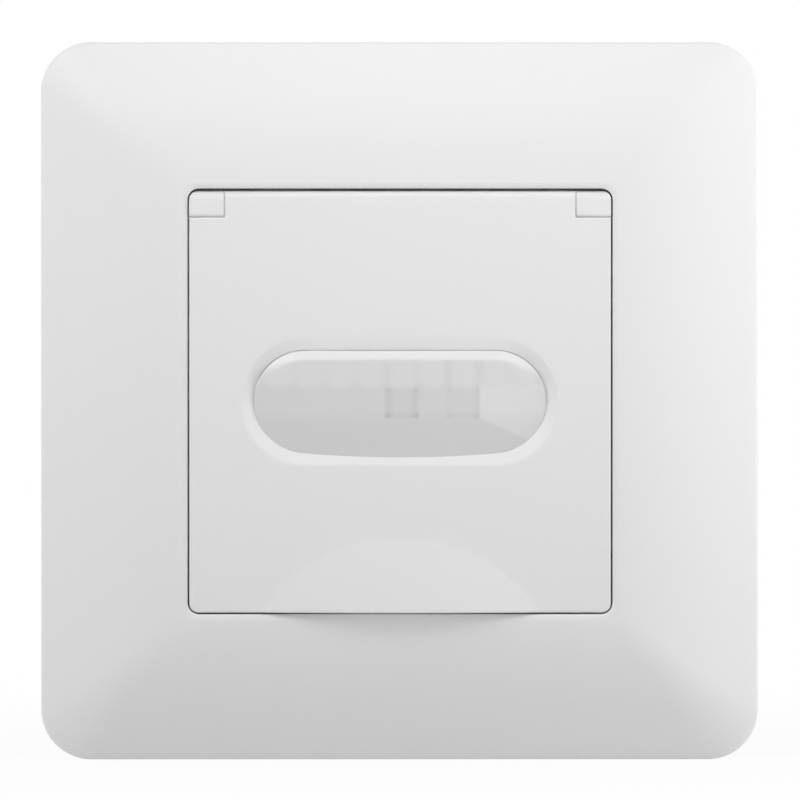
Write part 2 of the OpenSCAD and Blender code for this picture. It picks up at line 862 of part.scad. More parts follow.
module varistor() {
    color([0.1, 0.3, 0.65])
        rod_x(varistor_r, varistor_at[0] - varistor_t / 2, varistor_at[0] + varistor_t / 2,
            power_y - varistor_r, varistor_at[1]);
}

module fuse() {
    color([0.85, 0.85, 0.8]) translate([fuse_at[0], power_y - fuse_r - fuse_cap_t, fuse_at[1]]) {
        rod_x(fuse_r, -fuse_l / 2, fuse_l / 2, 0, 0);
        for (m = [0, 1]) mirror([m, 0, 0])
            rod_x(fuse_r + fuse_cap_t, fuse_l / 2 - fuse_cap, fuse_l / 2, 0, 0);
    }
}

// Terminals: a block in the housing's floor with a wire entry and a release button for each wire
module terminal_block() {
    color([0.8, 0.8, 0.78]) difference() {
        union() {
            box_at(0, block_z, block_w, block_h, block_front, block_back);
            box_at(0, block_z, block_w + 2 * shoulder, block_h + 2 * shoulder,
                floor_y - shoulder_t, floor_y);
        }
        cells() {
            box_at(0, block_z, pocket_w, pocket_h, block_front - eps, pocket_back);
            rod_y(wire_r, pocket_back - eps, block_back + eps, 0, entry_z);
            box_at(0, slot_z, slot_w, slot_h, pocket_back - eps, block_back + eps);
        }
    }
}

module terminal_clamps() {
    color(brass) cells() {
        block(-clamp_w / 2, clamp_w / 2, power_back, power_back + clamp_t, clamp_z, clamp_z + clamp_foot);
        block(-clamp_w / 2, clamp_w / 2, power_back, clamp_back, clamp_z, clamp_z + clamp_t);
    }
}

module clamp_springs() {
    color(zinc) cells() prism_x(-spring_w / 2, spring_w / 2, [
        [leaf_at(spring_top) - leaf_w, spring_top],
        [clamp_back, spring_top],
        [clamp_back, spring_inner],
        [leaf_at(spring_inner), spring_inner],
        [leaf_at(leaf_foot), leaf_foot],
        [leaf_at(leaf_foot) - leaf_w, leaf_foot]
    ]);
}

module release_button() {
    body_w = slot_w - 2 * button_clear;
    color([0.85, 0.4, 0.1]) {
        box_at(0, slot_z, body_w, slot_h - 2 * button_clear, button_tip, block_back + button_proud);
        box_at(0, slot_z + (slot_h - ear_h) / 2 - button_clear, body_w + 2 * ear_w, ear_h,
            button_tip, button_tip + ear_t);
    }
}

module release_button_line() {
    translate([-cell_pitch, 0, 0]) release_button();
}

module release_button_load() {
    release_button();
}

module release_button_neutral() {
    translate([cell_pitch, 0, 0]) release_button();
}

cover_plate();
support_frame();
front_panel();
hinged_cover();
fresnel_lens();
lens_retainer();
rear_housing();
case_screws();
sensor_board();
power_board();
board_header();
board_pins();
pir_can();
pir_window();
pir_spacer();
status_led();
light_sensor();
time_trimmer();
lux_trimmer();
time_dial();
lux_dial();
mode_switch();
mode_slider();
relay();
smoothing_capacitor();
film_capacitor();
varistor();
fuse();
terminal_block();
terminal_clamps();
clamp_springs();
release_button_line();
release_button_load();
release_button_neutral();
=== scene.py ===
import json
import math

import bmesh
import bpy
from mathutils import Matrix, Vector


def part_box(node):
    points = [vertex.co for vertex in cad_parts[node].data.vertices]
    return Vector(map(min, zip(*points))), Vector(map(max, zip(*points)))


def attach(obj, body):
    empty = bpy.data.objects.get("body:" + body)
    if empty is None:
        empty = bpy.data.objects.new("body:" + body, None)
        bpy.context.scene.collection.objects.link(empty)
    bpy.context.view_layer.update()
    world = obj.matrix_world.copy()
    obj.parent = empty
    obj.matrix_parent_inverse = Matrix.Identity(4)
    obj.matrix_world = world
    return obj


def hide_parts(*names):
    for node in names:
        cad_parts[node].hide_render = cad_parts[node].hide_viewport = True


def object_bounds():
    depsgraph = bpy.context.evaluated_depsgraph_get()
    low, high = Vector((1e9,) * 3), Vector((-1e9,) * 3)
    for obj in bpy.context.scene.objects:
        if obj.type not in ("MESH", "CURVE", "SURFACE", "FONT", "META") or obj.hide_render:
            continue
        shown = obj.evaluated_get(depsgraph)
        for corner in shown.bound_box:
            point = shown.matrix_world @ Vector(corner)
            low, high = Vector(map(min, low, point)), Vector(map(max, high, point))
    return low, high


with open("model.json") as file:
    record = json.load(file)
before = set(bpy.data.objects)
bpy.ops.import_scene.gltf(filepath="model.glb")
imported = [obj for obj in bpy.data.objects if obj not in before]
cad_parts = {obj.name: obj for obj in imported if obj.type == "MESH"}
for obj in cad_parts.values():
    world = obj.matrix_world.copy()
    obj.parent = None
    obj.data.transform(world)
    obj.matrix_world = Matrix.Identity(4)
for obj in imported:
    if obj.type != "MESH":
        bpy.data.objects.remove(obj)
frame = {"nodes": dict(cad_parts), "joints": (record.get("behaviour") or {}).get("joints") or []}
cad_low, cad_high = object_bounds()
nodes = frame["nodes"]


# Rear housing: the deep box that goes into the wall box, moulded in grey flame-retardant plastic.
# Its outside has the dull grain of a spark-eroded tool, and its floor a window for the terminals.
MM = 0.001
FLOW_SCALE = 55.0
FLOW_GLOSS = 0.08
PIT_GLOSS = 0.16
PIT_BUMP = 0.4
EDGE_ANGLE = 35
WELD = 0.001 * MM


class Wire:
    """A socket in a node tree. Arithmetic on it adds Math nodes, and add() adds any other node."""

    def __init__(self, tree, socket=None):
        self.tree = tree
        self.socket = socket

    def add(self, kind, settings=None, sockets=None, out=0):
        """Any node by its type: its settings first, then the values or links of its sockets."""
        node = self.tree.nodes.new("ShaderNode" + kind)
        for name, value in (settings or {}).items():
            setattr(node, name, value)
        for name, value in (sockets or {}).items():
            if isinstance(value, Wire):
                self.tree.links.new(value.socket, node.inputs[name])
            else:
                node.inputs[name].default_value = value
        return Wire(self.tree, node.outputs[out])

    def maths(self, operation, *values):
        """A Math node that works on the given values."""
        return self.add("Math", {"operation": operation}, dict(enumerate(values)))

    def ease(self, low, high):
        """A smooth step from none at low to all at high."""
        return self.add("MapRange", {"interpolation_type": "SMOOTHSTEP"}, {0: self, 1: low, 2: high})

    def blend(self, low, high):
        """A mix of two colours, with this value as the share of the second."""
        return self.add("Mix", {"data_type": "RGBA"}, {0: self, 6: low, 7: high}, out=2)

    def __add__(self, other):
        return self.maths("ADD", self, other)

    def __sub__(self, other):
        return self.maths("SUBTRACT", self, other)

    def __rsub__(self, other):
        return self.maths("SUBTRACT", other, self)

    def __mul__(self, other):
        return self.maths("MULTIPLY", self, other)

    def __truediv__(self, other):
        return self.maths("DIVIDE", self, other)

    def __rtruediv__(self, other):
        return self.maths("DIVIDE", other, self)

    def __abs__(self):
        return self.maths("ABSOLUTE", self)

    def __floor__(self):
        return self.maths("FLOOR", self)

    __radd__ = __add__
    __rmul__ = __mul__


def finish(name, constants, shade):
    """A material: constants go straight on the shader, and shade(pen) gives what varies over it."""
    material = bpy.data.materials.new(name)
    material.use_nodes = True
    tree = material.node_tree
    shader = tree.nodes["Principled BSDF"]
    for socket, value in constants.items():
        shader.inputs[socket].default_value = value
    for socket, wire in shade(Wire(tree)).items():
        tree.links.new(wire.socket, shader.inputs[socket])
    return material


def tint(colour, share):
    """A colour at a share of its brightness, in the form that a socket takes."""
    return [channel * share for channel in colour] + [1]


def moulded(name, colour, rough, grain=0.3, relief=0.003, mottle=0.015, gloss=0.0):
    """Moulded plastic: faint flow marks in the colour and an eroded grain that breaks up the gloss."""

    def shade(pen):
        place = pen.add("TexCoord", out="Object")
        flow = pen.add("TexNoise", {}, {"Vector": place, "Scale": FLOW_SCALE, "Detail": 3.0})
        pits = pen.add("TexNoise", {}, {"Vector": place, "Scale": 1 / (grain * MM), "Detail": 2.0})
        bump = {"Strength": PIT_BUMP, "Distance": relief * MM, "Height": pits}
        return {
            "Base Color": flow.blend(tint(colour, 1 - mottle), tint(colour, 1 + mottle)),
            "Roughness": rough + (pits - 0.5) * PIT_GLOSS + (flow - 0.5) * FLOW_GLOSS,
            "Normal": pen.add("Bump", {}, bump),
        }

    return finish(name, {"IOR": 1.49, "Coat Weight": gloss, "Coat Roughness": 0.2}, shade)


def dress(material, *names, edge=0.0):
    """Gives CAD nodes their material and, where edge is set, the small radius of a real edge."""
    for name in names:
        for slot in nodes[name].material_slots:
            slot.material = material
        if edge:
            weld = nodes[name].modifiers.new("weld", "WELD")
            weld.merge_threshold = WELD
            bevel = nodes[name].modifiers.new("edge", "BEVEL")
            bevel.width = edge * MM
            bevel.segments = 2
            bevel.limit_method = "ANGLE"
            bevel.angle_limit = math.radians(EDGE_ANGLE)
            bevel.harden_normals = True


HOUSING_GREY = (0.30, 0.31, 0.325)
housing_grey = moulded("housing_grey", HOUSING_GREY, 0.58, grain=0.35, relief=0.012, mottle=0.04)
dress(housing_grey, "rear_housing", edge=0.25)


# Terminals: an ivory block in the housing's floor, a brass clamp and a steel spring in each pocket,
# and an orange button over each wire entry that opens the spring.
STREAK_SCALE = 2600.0
STREAK_SHARE = 0.6
STREAK_GLOSS = 0.18
STREAK_BUMP = 0.25
STREAK_DEPTH = 0.002
PATCH_SCALE = 130.0
PATCH_GLOSS = 0.2


def rolled(name, colour, rough, grain_along, streak=0.12):
    """Rolled or plated metal: fine streaks along the rolling direction and patchy brightness."""

    def shade(pen):
        place = pen.add("TexCoord", out="Object")
        drawn = pen.add("VectorMath", {"operation": "MULTIPLY"}, {0: place, 1: grain_along})
        lines = pen.add("TexNoise", {}, {"Vector": drawn, "Scale": STREAK_SCALE, "Detail": 3.0})
        patch = pen.add("TexNoise", {}, {"Vector": place, "Scale": PATCH_SCALE, "Detail": 2.0})
        bump = {"Strength": STREAK_BUMP, "Distance": STREAK_DEPTH * MM, "Height": lines}
        tone = lines * STREAK_SHARE + patch * (1 - STREAK_SHARE)
        return {
            "Base Color": tone.blend(tint(colour, 1 - streak), tint(colour, 1 + streak)),
            "Roughness": rough + (lines - 0.5) * STREAK_GLOSS + (patch - 0.5) * PATCH_GLOSS,
            "Normal": pen.add("Bump", {}, bump),
        }

    return finish(name, {"Metallic": 1.0}, shade)


block_ivory = moulded("block_ivory", (0.70, 0.68, 0.61), 0.42, grain=0.4, relief=0.004)
clamp_brass = rolled("clamp_brass", (0.72, 0.52, 0.24), 0.28, (1.0, 0.04, 1.0))
spring_steel = rolled("spring_steel", (0.56, 0.56, 0.57), 0.25, (0.05, 1.0, 1.0))
button_orange = moulded("button_orange", (0.78, 0.20, 0.035), 0.36, gloss=0.2)
dress(block_ivory, "terminal_block")
dress(clamp_brass, "terminal_clamps", edge=0.06)
dress(spring_steel, "clamp_springs", edge=0.05)
dress(button_orange, "release_button_line", "release_button_load", "release_button_neutral", edge=0.2)


# Power board: green laminate on the housing's ledges with the relay, the capacitors, the surge disc
# and the ceramic fuse soldered to it, and a pin header that reaches up to the sensor board.
TRACK_SCALE = 260.0
TRACK_SHUFFLE = 0.35
TRACK_LINE = (0.08, 0.14)
TRACK_BUMP = 0.4
TRACK_RISE = 0.03
WEAVE_SCALE = 900.0
WEAVE_GLOSS = 0.2
MASK_ROUGH = 0.34


def laminate(name, mask, copper):
    """Solder mask over copper: tracks show as lighter bands with drilled pads on a coarse grid."""

    def shade(pen):
        place = pen.add("TexCoord", out="Object")
        flat = pen.add("VectorMath", {"operation": "MULTIPLY"}, {0: place, 1: (1.0, 0.0, 1.0)})
        bricks = pen.add(
            "TexVoronoi",
            {"distance": "MANHATTAN", "feature": "DISTANCE_TO_EDGE"},
            {"Vector": flat, "Scale": TRACK_SCALE, "Randomness": TRACK_SHUFFLE},
        )
        tracks = bricks.ease(*TRACK_LINE)
        weave = pen.add("TexNoise", {}, {"Vector": place, "Scale": WEAVE_SCALE, "Detail": 2.0})
        bump = {"Strength": TRACK_BUMP, "Distance": TRACK_RISE * MM, "Height": 1 - tracks}
        return {
            "Base Color": tracks.blend(tint(copper, 1), tint(mask, 1)),
            "Roughness": MASK_ROUGH + (weave - 0.5) * WEAVE_GLOSS,
            "Normal": pen.add("Bump", {}, bump),
        }

    return finish(name, {"IOR": 1.5, "Coat Weight": 0.3, "Coat Roughness": 0.15}, shade)


board_green = laminate("board_green", (0.016, 0.11, 0.045), (0.05, 0.22, 0.08))
black_plastic = moulded("black_plastic", (0.018, 0.018, 0.020), 0.45, relief=0.004, mottle=0.1)
relay_blue = moulded("relay_blue", (0.02, 0.07, 0.26), 0.32, grain=0.4, gloss=0.3)
film_yellow = moulded("film_yellow", (0.72, 0.52, 0.06), 0.35, grain=0.5, gloss=0.3)
disc_blue = moulded("disc_blue", (0.03, 0.12, 0.42), 0.4, grain=0.5, relief=0.01, gloss=0.3)
fuse_ceramic = moulded("fuse_ceramic", (0.74, 0.70, 0.62), 0.3, grain=0.2, relief=0.002, gloss=0.4)
dress(board_green, "power_board", "sensor_board", edge=0.08)
dress(black_plastic, "board_header", "smoothing_capacitor", edge=0.12)
dress(clamp_brass, "board_pins", edge=0.05)
dress(relay_blue, "relay", edge=0.3)
dress(film_yellow, "film_capacitor", edge=0.35)
dress(disc_blue, "varistor", edge=0.5)
dress(fuse_ceramic, "fuse", edge=0.1)


# Sensor board: carries the metal can with its dark filter window, a red lamp, a clear light sensor,
# the two trimmers that the dials turn and the slide switch.
CLOUD_SCALE = 700.0
CLOUD_TINT = 0.1
CLOUD_GLOSS = 0.06


def glazed(name, colour, rough, see_through):
    """Cast epoxy or filter glass: tinted, polished and partly see-through, with faint cloudiness."""

    def shade(pen):
        place = pen.add("TexCoord", out="Object")
        cloud = pen.add("TexNoise", {}, {"Vector": place, "Scale": CLOUD_SCALE, "Detail": 2.0})
        return {
            "Base Color": cloud.blend(tint(colour, 1 - CLOUD_TINT), tint(colour, 1 + CLOUD_TINT)),
            "Roughness": rough + (cloud - 0.5) * CLOUD_GLOSS,
        }

    return finish(name, {"Transmission Weight": see_through, "IOR": 1.5, "Coat Weight": 0.4}, shade)


can_nickel = rolled("can_nickel", (0.66, 0.65, 0.62), 0.2, (1.0, 0.06, 1.0), streak=0.06)
filter_glass = glazed("filter_glass", (0.03, 0.028, 0.035), 0.06, 0.0)
lamp_red = glazed("lamp_red", (0.62, 0.05, 0.04), 0.1, 0.35)
clear_epoxy = glazed("clear_epoxy", (0.74, 0.77, 0.82), 0.1, 0.5)
trimmer_blue = moulded("trimmer_blue", (0.03, 0.10, 0.36), 0.4, relief=0.004)
dress(can_nickel, "pir_can", edge=0.25)
dress(filter_glass, "pir_window")
dress(black_plastic, "pir_spacer", "mode_switch", edge=0.1)
dress(lamp_red, "status_led")
dress(clear_epoxy, "light_sensor", edge=0.15)
dress(trimmer_blue, "time_trimmer", "lux_trimmer", edge=0.12)


# Support frame: zinc-plated steel sheet, stamped with the screw holes, the windows for the plate's
# hooks and the large window behind the panel. The plating has a fine spangle and dull patches.
SPANGLE_SCALE = 420.0
SPANGLE_TINT = 0.08
SPANGLE_GLOSS = 0.14
SPANGLE_BUMP = 0.2
SPANGLE_DEPTH = 0.003
DULL_SCALE = 90.0
DULL_GLOSS = 0.22


def spangled(name, colour, rough):
    """Zinc plating: small crystals of slightly different brightness, with duller clouds over them."""

    def shade(pen):
        place = pen.add("TexCoord", out="Object")
        grains = pen.add("TexVoronoi", {}, {"Vector": place, "Scale": SPANGLE_SCALE}, out="Color")
        crystal = pen.add("SeparateColor", {}, {0: grains})
        cloud = pen.add("TexNoise", {}, {"Vector": place, "Scale": DULL_SCALE, "Detail": 3.0})
        tone = crystal * 0.5 + cloud * 0.5
        bump = {"Strength": SPANGLE_BUMP, "Distance": SPANGLE_DEPTH * MM, "Height": tone}
        return {
            "Base Color": tone.blend(tint(colour, 1 - SPANGLE_TINT), tint(colour, 1 + SPANGLE_TINT)),
            "Roughness": rough + (crystal - 0.5) * SPANGLE_GLOSS + (cloud - 0.5) * DULL_GLOSS,
            "Normal": pen.add("Bump", {}, bump),
        }

    return finish(name, {"Metallic": 1.0}, shade)


zinc_plate = spangled("zinc_plate", (0.60, 0.61, 0.63), 0.36)
dress(zinc_plate, "support_frame", edge=0.12)


# Front panel and its controls: white panel with the hinge lugs and the light well, held by four
# screws, with a grey dial for the time, one for the light level and a slider for the mode.
SHELL_WHITE = (0.80, 0.80, 0.80)
shell_white = moulded("shell_white", SHELL_WHITE, 0.42, grain=0.22, relief=0.0015, mottle=0.004)
dial_grey = moulded("dial_grey", (0.20, 0.205, 0.215), 0.46, grain=0.25, relief=0.004, mottle=0.04)
screw_zinc = rolled("screw_zinc", (0.62, 0.63, 0.66), 0.3, (1.0, 0.3, 1.0), streak=0.08)
dress(shell_white, "front_panel", edge=0.12)
dress(screw_zinc, "case_screws", edge=0.08)
dress(dial_grey, "time_dial", "lux_dial", "mode_slider", edge=0.12)


MERGE = 0.0004 * MM
SLIVER = 0.0002 * MM


class Form:
    """Points in millimetres and faces, gathered ring by ring, that become one mesh piece."""

    def __init__(self):
        self.points = []
        self.faces = []

    def loft(self, rings, loop=False, caps=False, around=True):
        """Joins rings of equal count; loop joins the last ring to the first, caps close both ends."""
        start, count = len(self.points), len(rings[0])
        for ring in rings:
            self.points.extend(ring)
        for i in range(len(rings) if loop else len(rings) - 1):
            low = start + i * count
            high = start + (i + 1) % len(rings) * count
            for j in range(count if around else count - 1):
                k = (j + 1) % count
                self.faces.append((low + j, low + k, high + k, high + j))
        if caps:
            last = start + (len(rings) - 1) * count
            self.faces.append(tuple(range(start, start + count)))
            self.faces.append(tuple(range(last, last + count)))

    def turned(self, profile, centre, axis, steps=40):
        """A turned shape: (radius, distance along the axis) pairs swept about axis "x" or "y"."""
        rings = []
        for radius, along in profile:
            ring = []
            for k in range(steps):
                a = 2 * math.pi * k / steps
                u, v = radius * math.cos(a), radius * math.sin(a)
                spot = (along, u, v) if axis == "x" else (u, along, v)
                ring.append(tuple(c + s for c, s in zip(centre, spot)))
            rings.append(ring)
        self.loft(rings, caps=True)

    def piece(self, name, material, crisp=32):
        """The mesh piece, with touching points merged and edges over the crisp angle left sharp."""
        mesh = bpy.data.meshes.new(name)
        made = bmesh.new()
        spots = [made.verts.new(Vector(p) * MM) for p in self.points]
        for face in self.faces:
            made.faces.new([spots[i] for i in face])
        bmesh.ops.remove_doubles(made, verts=made.verts, dist=MERGE)
        bmesh.ops.dissolve_degenerate(made, edges=made.edges, dist=SLIVER)
        bmesh.ops.recalc_face_normals(made, faces=made.faces)
        made.to_mesh(mesh)
        made.free()
        mesh.shade_smooth()
        mesh.set_sharp_from_angle(angle=math.radians(crisp))
        mesh.materials.append(material)
        piece = bpy.data.objects.new(name, mesh)
        bpy.context.scene.collection.objects.link(piece)
        return piece


MARK_W = 0.3
MARK_L = 0.6
MARK_RISE = 0.06
MARK_ROOT = 0.1
DIAL_PROUD = 0.4
DIAL_SWEEP = 135
DIAL_MARKS = 7
joints = {joint["name"]: joint for joint in frame["joints"]}
panel_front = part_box("time_dial")[0].y / MM + DIAL_PROUD
marks = Form()


def mark(x, z, ux, uz):
    """A raised bar of the scale, centred at (x, z) and lying along (ux, uz), with a softened top."""
    rings = []
    for inset, depth in ((0, MARK_ROOT), (0, -MARK_RISE / 2), (MARK_RISE / 2, -MARK_RISE)):
        a = MARK_L / 2 - inset
        b = MARK_W / 2 - inset
        ring = []
        for s, t in ((-a, -b), (a, -b), (a, b), (-a, b)):
            ring.append((x + ux * s - uz * t, panel_front + depth, z + uz * s + ux * t))
        rings.append(ring)
    marks.loft(rings, caps=True)


for dial, turning in (("time_dial", "time_dial_turn"), ("lux_dial", "lux_dial_turn")):
    hub = Vector(joints[turning]["pos_m"]) / MM
    scale_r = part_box(dial)[1].x / MM - hub.x + MARK_ROOT
    for k in range(DIAL_MARKS):
        turn = math.radians(DIAL_SWEEP * (2 * k / (DIAL_MARKS - 1) - 1))
        ux, uz = math.sin(turn), math.cos(turn)
        mark(hub.x + ux * scale_r, hub.z + uz * scale_r, ux, uz)
slide_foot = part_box("mode_slider")[0].z / MM - MARK_L
for stop in (*joints["mode_slide"]["range_m"], 0):
    mark(stop / MM, slide_foot, 0, 1)
panel_marks = marks.piece("panel_marks", dial_grey)
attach(panel_marks, "base")


# Lens: a milky polyethylene window with moulded cells on its inner face. It is part of a wide drum
# that leans out towards a bevelled brow and meets the recess at its foot, staked in by a retainer.
BROW_INSET = 1.0
LENS_EDGE = 0.14
LENS_FOOT_EDGE = 0.04
BROW_W = 1.05
BROW_SLOPE = 0.6
BROW_SOFT = 0.08
BROW_FROM = 1 / 4
BROW_FULL = 5 / 12
EDGE_FADE = 2.4
LENS_WALL = 0.9
LENS_LIFT = 0.05
LENS_CLEAR = 0.05
LENS_TRIM = 0.2
LENS_REST = -0.3
BEVEL_W = 1.3
BEVEL_DEPTH = 0.8
FLANGE_W = 1.2
FLANGE_T = 0.59
FARTHEST = 30.0
HALVINGS = 40
SPOKES = 320
SPOKE_SPREAD = 1.6
LENS_STEPS = 20
LENS_INNER = 16
RIM_SHARE = 0.22
RIM_STEPS = 16
BACK_STEPS = 12
lens_low, lens_high = (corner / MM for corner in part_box("fresnel_lens"))
cover_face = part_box("cover_plate")[0].y / MM
lens_w = 2 * (lens_high.x - FLANGE_W)
lens_h = 2 * (lens_high.z - FLANGE_W)
lens_bow = -lens_low.z - FLANGE_W - lens_h / 2
lens_brow = lens_h / 2 - BROW_INSET
bow_rise = BEVEL_DEPTH * lens_bow / BEVEL_W
lens_fall = cover_face + BEVEL_DEPTH - bow_rise - LENS_LIFT - lens_low.y
lens_lean = lens_fall / (lens_brow + lens_h / 2 + lens_bow)
lens_end = (lens_w - lens_h) / 2 - LENS_TRIM
lens_sag = bow_rise + lens_bow * lens_lean
lens_curve = (lens_end ** 2 + lens_sag ** 2) / (2 * lens_sag)
bow_r = (lens_end ** 2 + lens_bow ** 2) / (2 * lens_bow)
bow_z = bow_r - lens_h / 2 - lens_bow


def mix(low, high, share):
    """The value that lies a share of the way from low to high."""
    return low + (high - low) * share


def clamp(share):
    """A share held between none and all."""
    return max(0.0, min(1.0, share))


def rounding(radius, inset):
    """How far a quarter-round edge has dropped at a given distance in from the edge."""
    left = max(0.0, radius - max(0.0, inset))
    return radius - math.sqrt(max(0.0, radius ** 2 - left ** 2))


def soft_max(one, other, width):
    """The larger of two values, with the crease between them rounded over the given width."""
    near = max(0.0, 1 - abs(one - other) / width)
    return max(one, other) + near * near * width / 4


def from_stadium(x, z):
    """Distance of a point from the lens's outline without its bow."""
    return math.hypot(x - max(-lens_end, min(lens_end, x)), z) - lens_h / 2


def from_lens(x, z):
    """Distance of a point from the lens's outline, with the bow of its lower edge."""
    flat = from_stadium(x, z)
    return min(flat, math.hypot(x, z - bow_z) - bow_r) if abs(x) < lens_end and z < 0 else flat


def reach(spot, way, distance, level):
    """How far along way from spot the distance function takes that level."""
    low, high = 0.0, FARTHEST
    for _ in range(HALVINGS):
        middle = (low + high) / 2
        if distance(spot[0] + way[0] * middle, spot[1] + way[1] * middle) < level:
            low = middle
        else:
            high = middle
    return low


def drum(x, z):
    """Depth of the leaning drum that the lens is part of."""
    lean = (lens_brow - z) * lens_lean
    return lens_low.y + lean + lens_curve - math.sqrt(lens_curve ** 2 - x ** 2)


def lens_front(x, z):
    """Front of the lens: the drum with a bevelled brow and a small round all along its edge."""
    inside = max(0.0, -from_lens(x, z))
    fade = clamp((z / lens_h - BROW_FROM) / (BROW_FULL - BROW_FROM))
    brow = BROW_SLOPE * fade * (BROW_W - inside)
    edge = mix(LENS_FOOT_EDGE, LENS_EDGE, clamp(EDGE_FADE * (0.5 + z / lens_h)))
    return drum(x, z) + soft_max(brow, 0, BROW_SOFT) + rounding(edge, inside)


spokes = []
for k in range(SPOKES):
    turn = 2 * math.pi * k / SPOKES
    way = Vector((SPOKE_SPREAD * math.cos(turn), math.sin(turn))).normalized()
    spot = (lens_end * math.cos(turn), 0.0)
    spokes.append((spot, way, reach(spot, way, from_lens, 0.0)))


def lens_ring(share, inset, depth):
    """A ring of the lens: share of the way from its spine to the outline less inset."""
    ring = []
    for spot, way, rim in spokes:
        out = (rim - inset) * share
        x = spot[0] + way[0] * out
        z = spot[1] + way[1] * out
        ring.append((x, depth(x, z), z))
    return ring


shares = [k / LENS_STEPS for k in range(LENS_INNER)]
shares += [1 - RIM_SHARE * (1 - k / RIM_STEPS) ** 2 for k in range(RIM_STEPS + 1)]
flange_back = lens_high.y
flange_front = flange_back - FLANGE_T
lens_rings = [lens_ring(share, 0, lens_front) for share in shares]
lens_rings.append(lens_ring(1, 0, lambda x, z: flange_front))
lens_rings.append(lens_ring(1, -FLANGE_W, lambda x, z: flange_front))
lens_rings.append(lens_ring(1, -FLANGE_W, lambda x, z: flange_back))
lens_rings.append(lens_ring(1, LENS_WALL, lambda x, z: flange_back))
for k in range(BACK_STEPS, -1, -1):
    lens_rings.append(lens_ring(k / BACK_STEPS, LENS_WALL, lambda x, z: drum(x, z) + LENS_WALL))
lens_form = Form()
lens_form.loft(lens_rings)

CELL_W = 3.42
CELL_H = 3.3
CELL_SHIFT = 0.19
ROW_UPPER = 1.75
ROW_LOWER = -1.78
SCALLOP_LOW = 0.15
SCALLOP_RISE = 1.8
UPPER_SOFT = 0.45
LOWER_SOFT = 1.0
SEAM_SPAN = (0.2, 0.5)
RIGHT_LIGHT_FROM = 8.81
RIGHT_LIGHT_SLOPE = 0.47
RIGHT_LIGHT_SIDE = 0.12
RIGHT_LIGHT_FOOT = (-0.2, 0.25)
BROW_HIGHLIGHT_SOFT = 0.06
BROW_HIGHLIGHT_FULL = 0.42
MILK_TONE = 0.685
UPPER_LIGHT_TONE = 0.055
SEAM_TONE = 0.035
SEAM_LEAST = 0.01
BROW_HIGHLIGHT_TONE = 0.11
LOWER_SHADE_TONE = 0.035
RIGHT_LIGHT_TONE = 0.07
MILK_ROUGH = 0.4
MILK_GLOSS = 0.1
MILK_MOTTLE = 0.01
MILK_CLOUD = 160.0
PANE_SIDE = (1.6, 2.1)
PANE_TOP = (1.4, 1.9)
PANE_TONE = 0.15
FLANK_SPAN = (0.6, 1.5)
FLANK_TURN = 0.3
FLANK_TONE = 0.45
SILL_H = 0.9
SILL_TONE = 0.45
SPOT_SIDE = (1.05, 1.6)
SPOT_TOP = (0.95, 1.45)
SPOT_TONE = 0.5


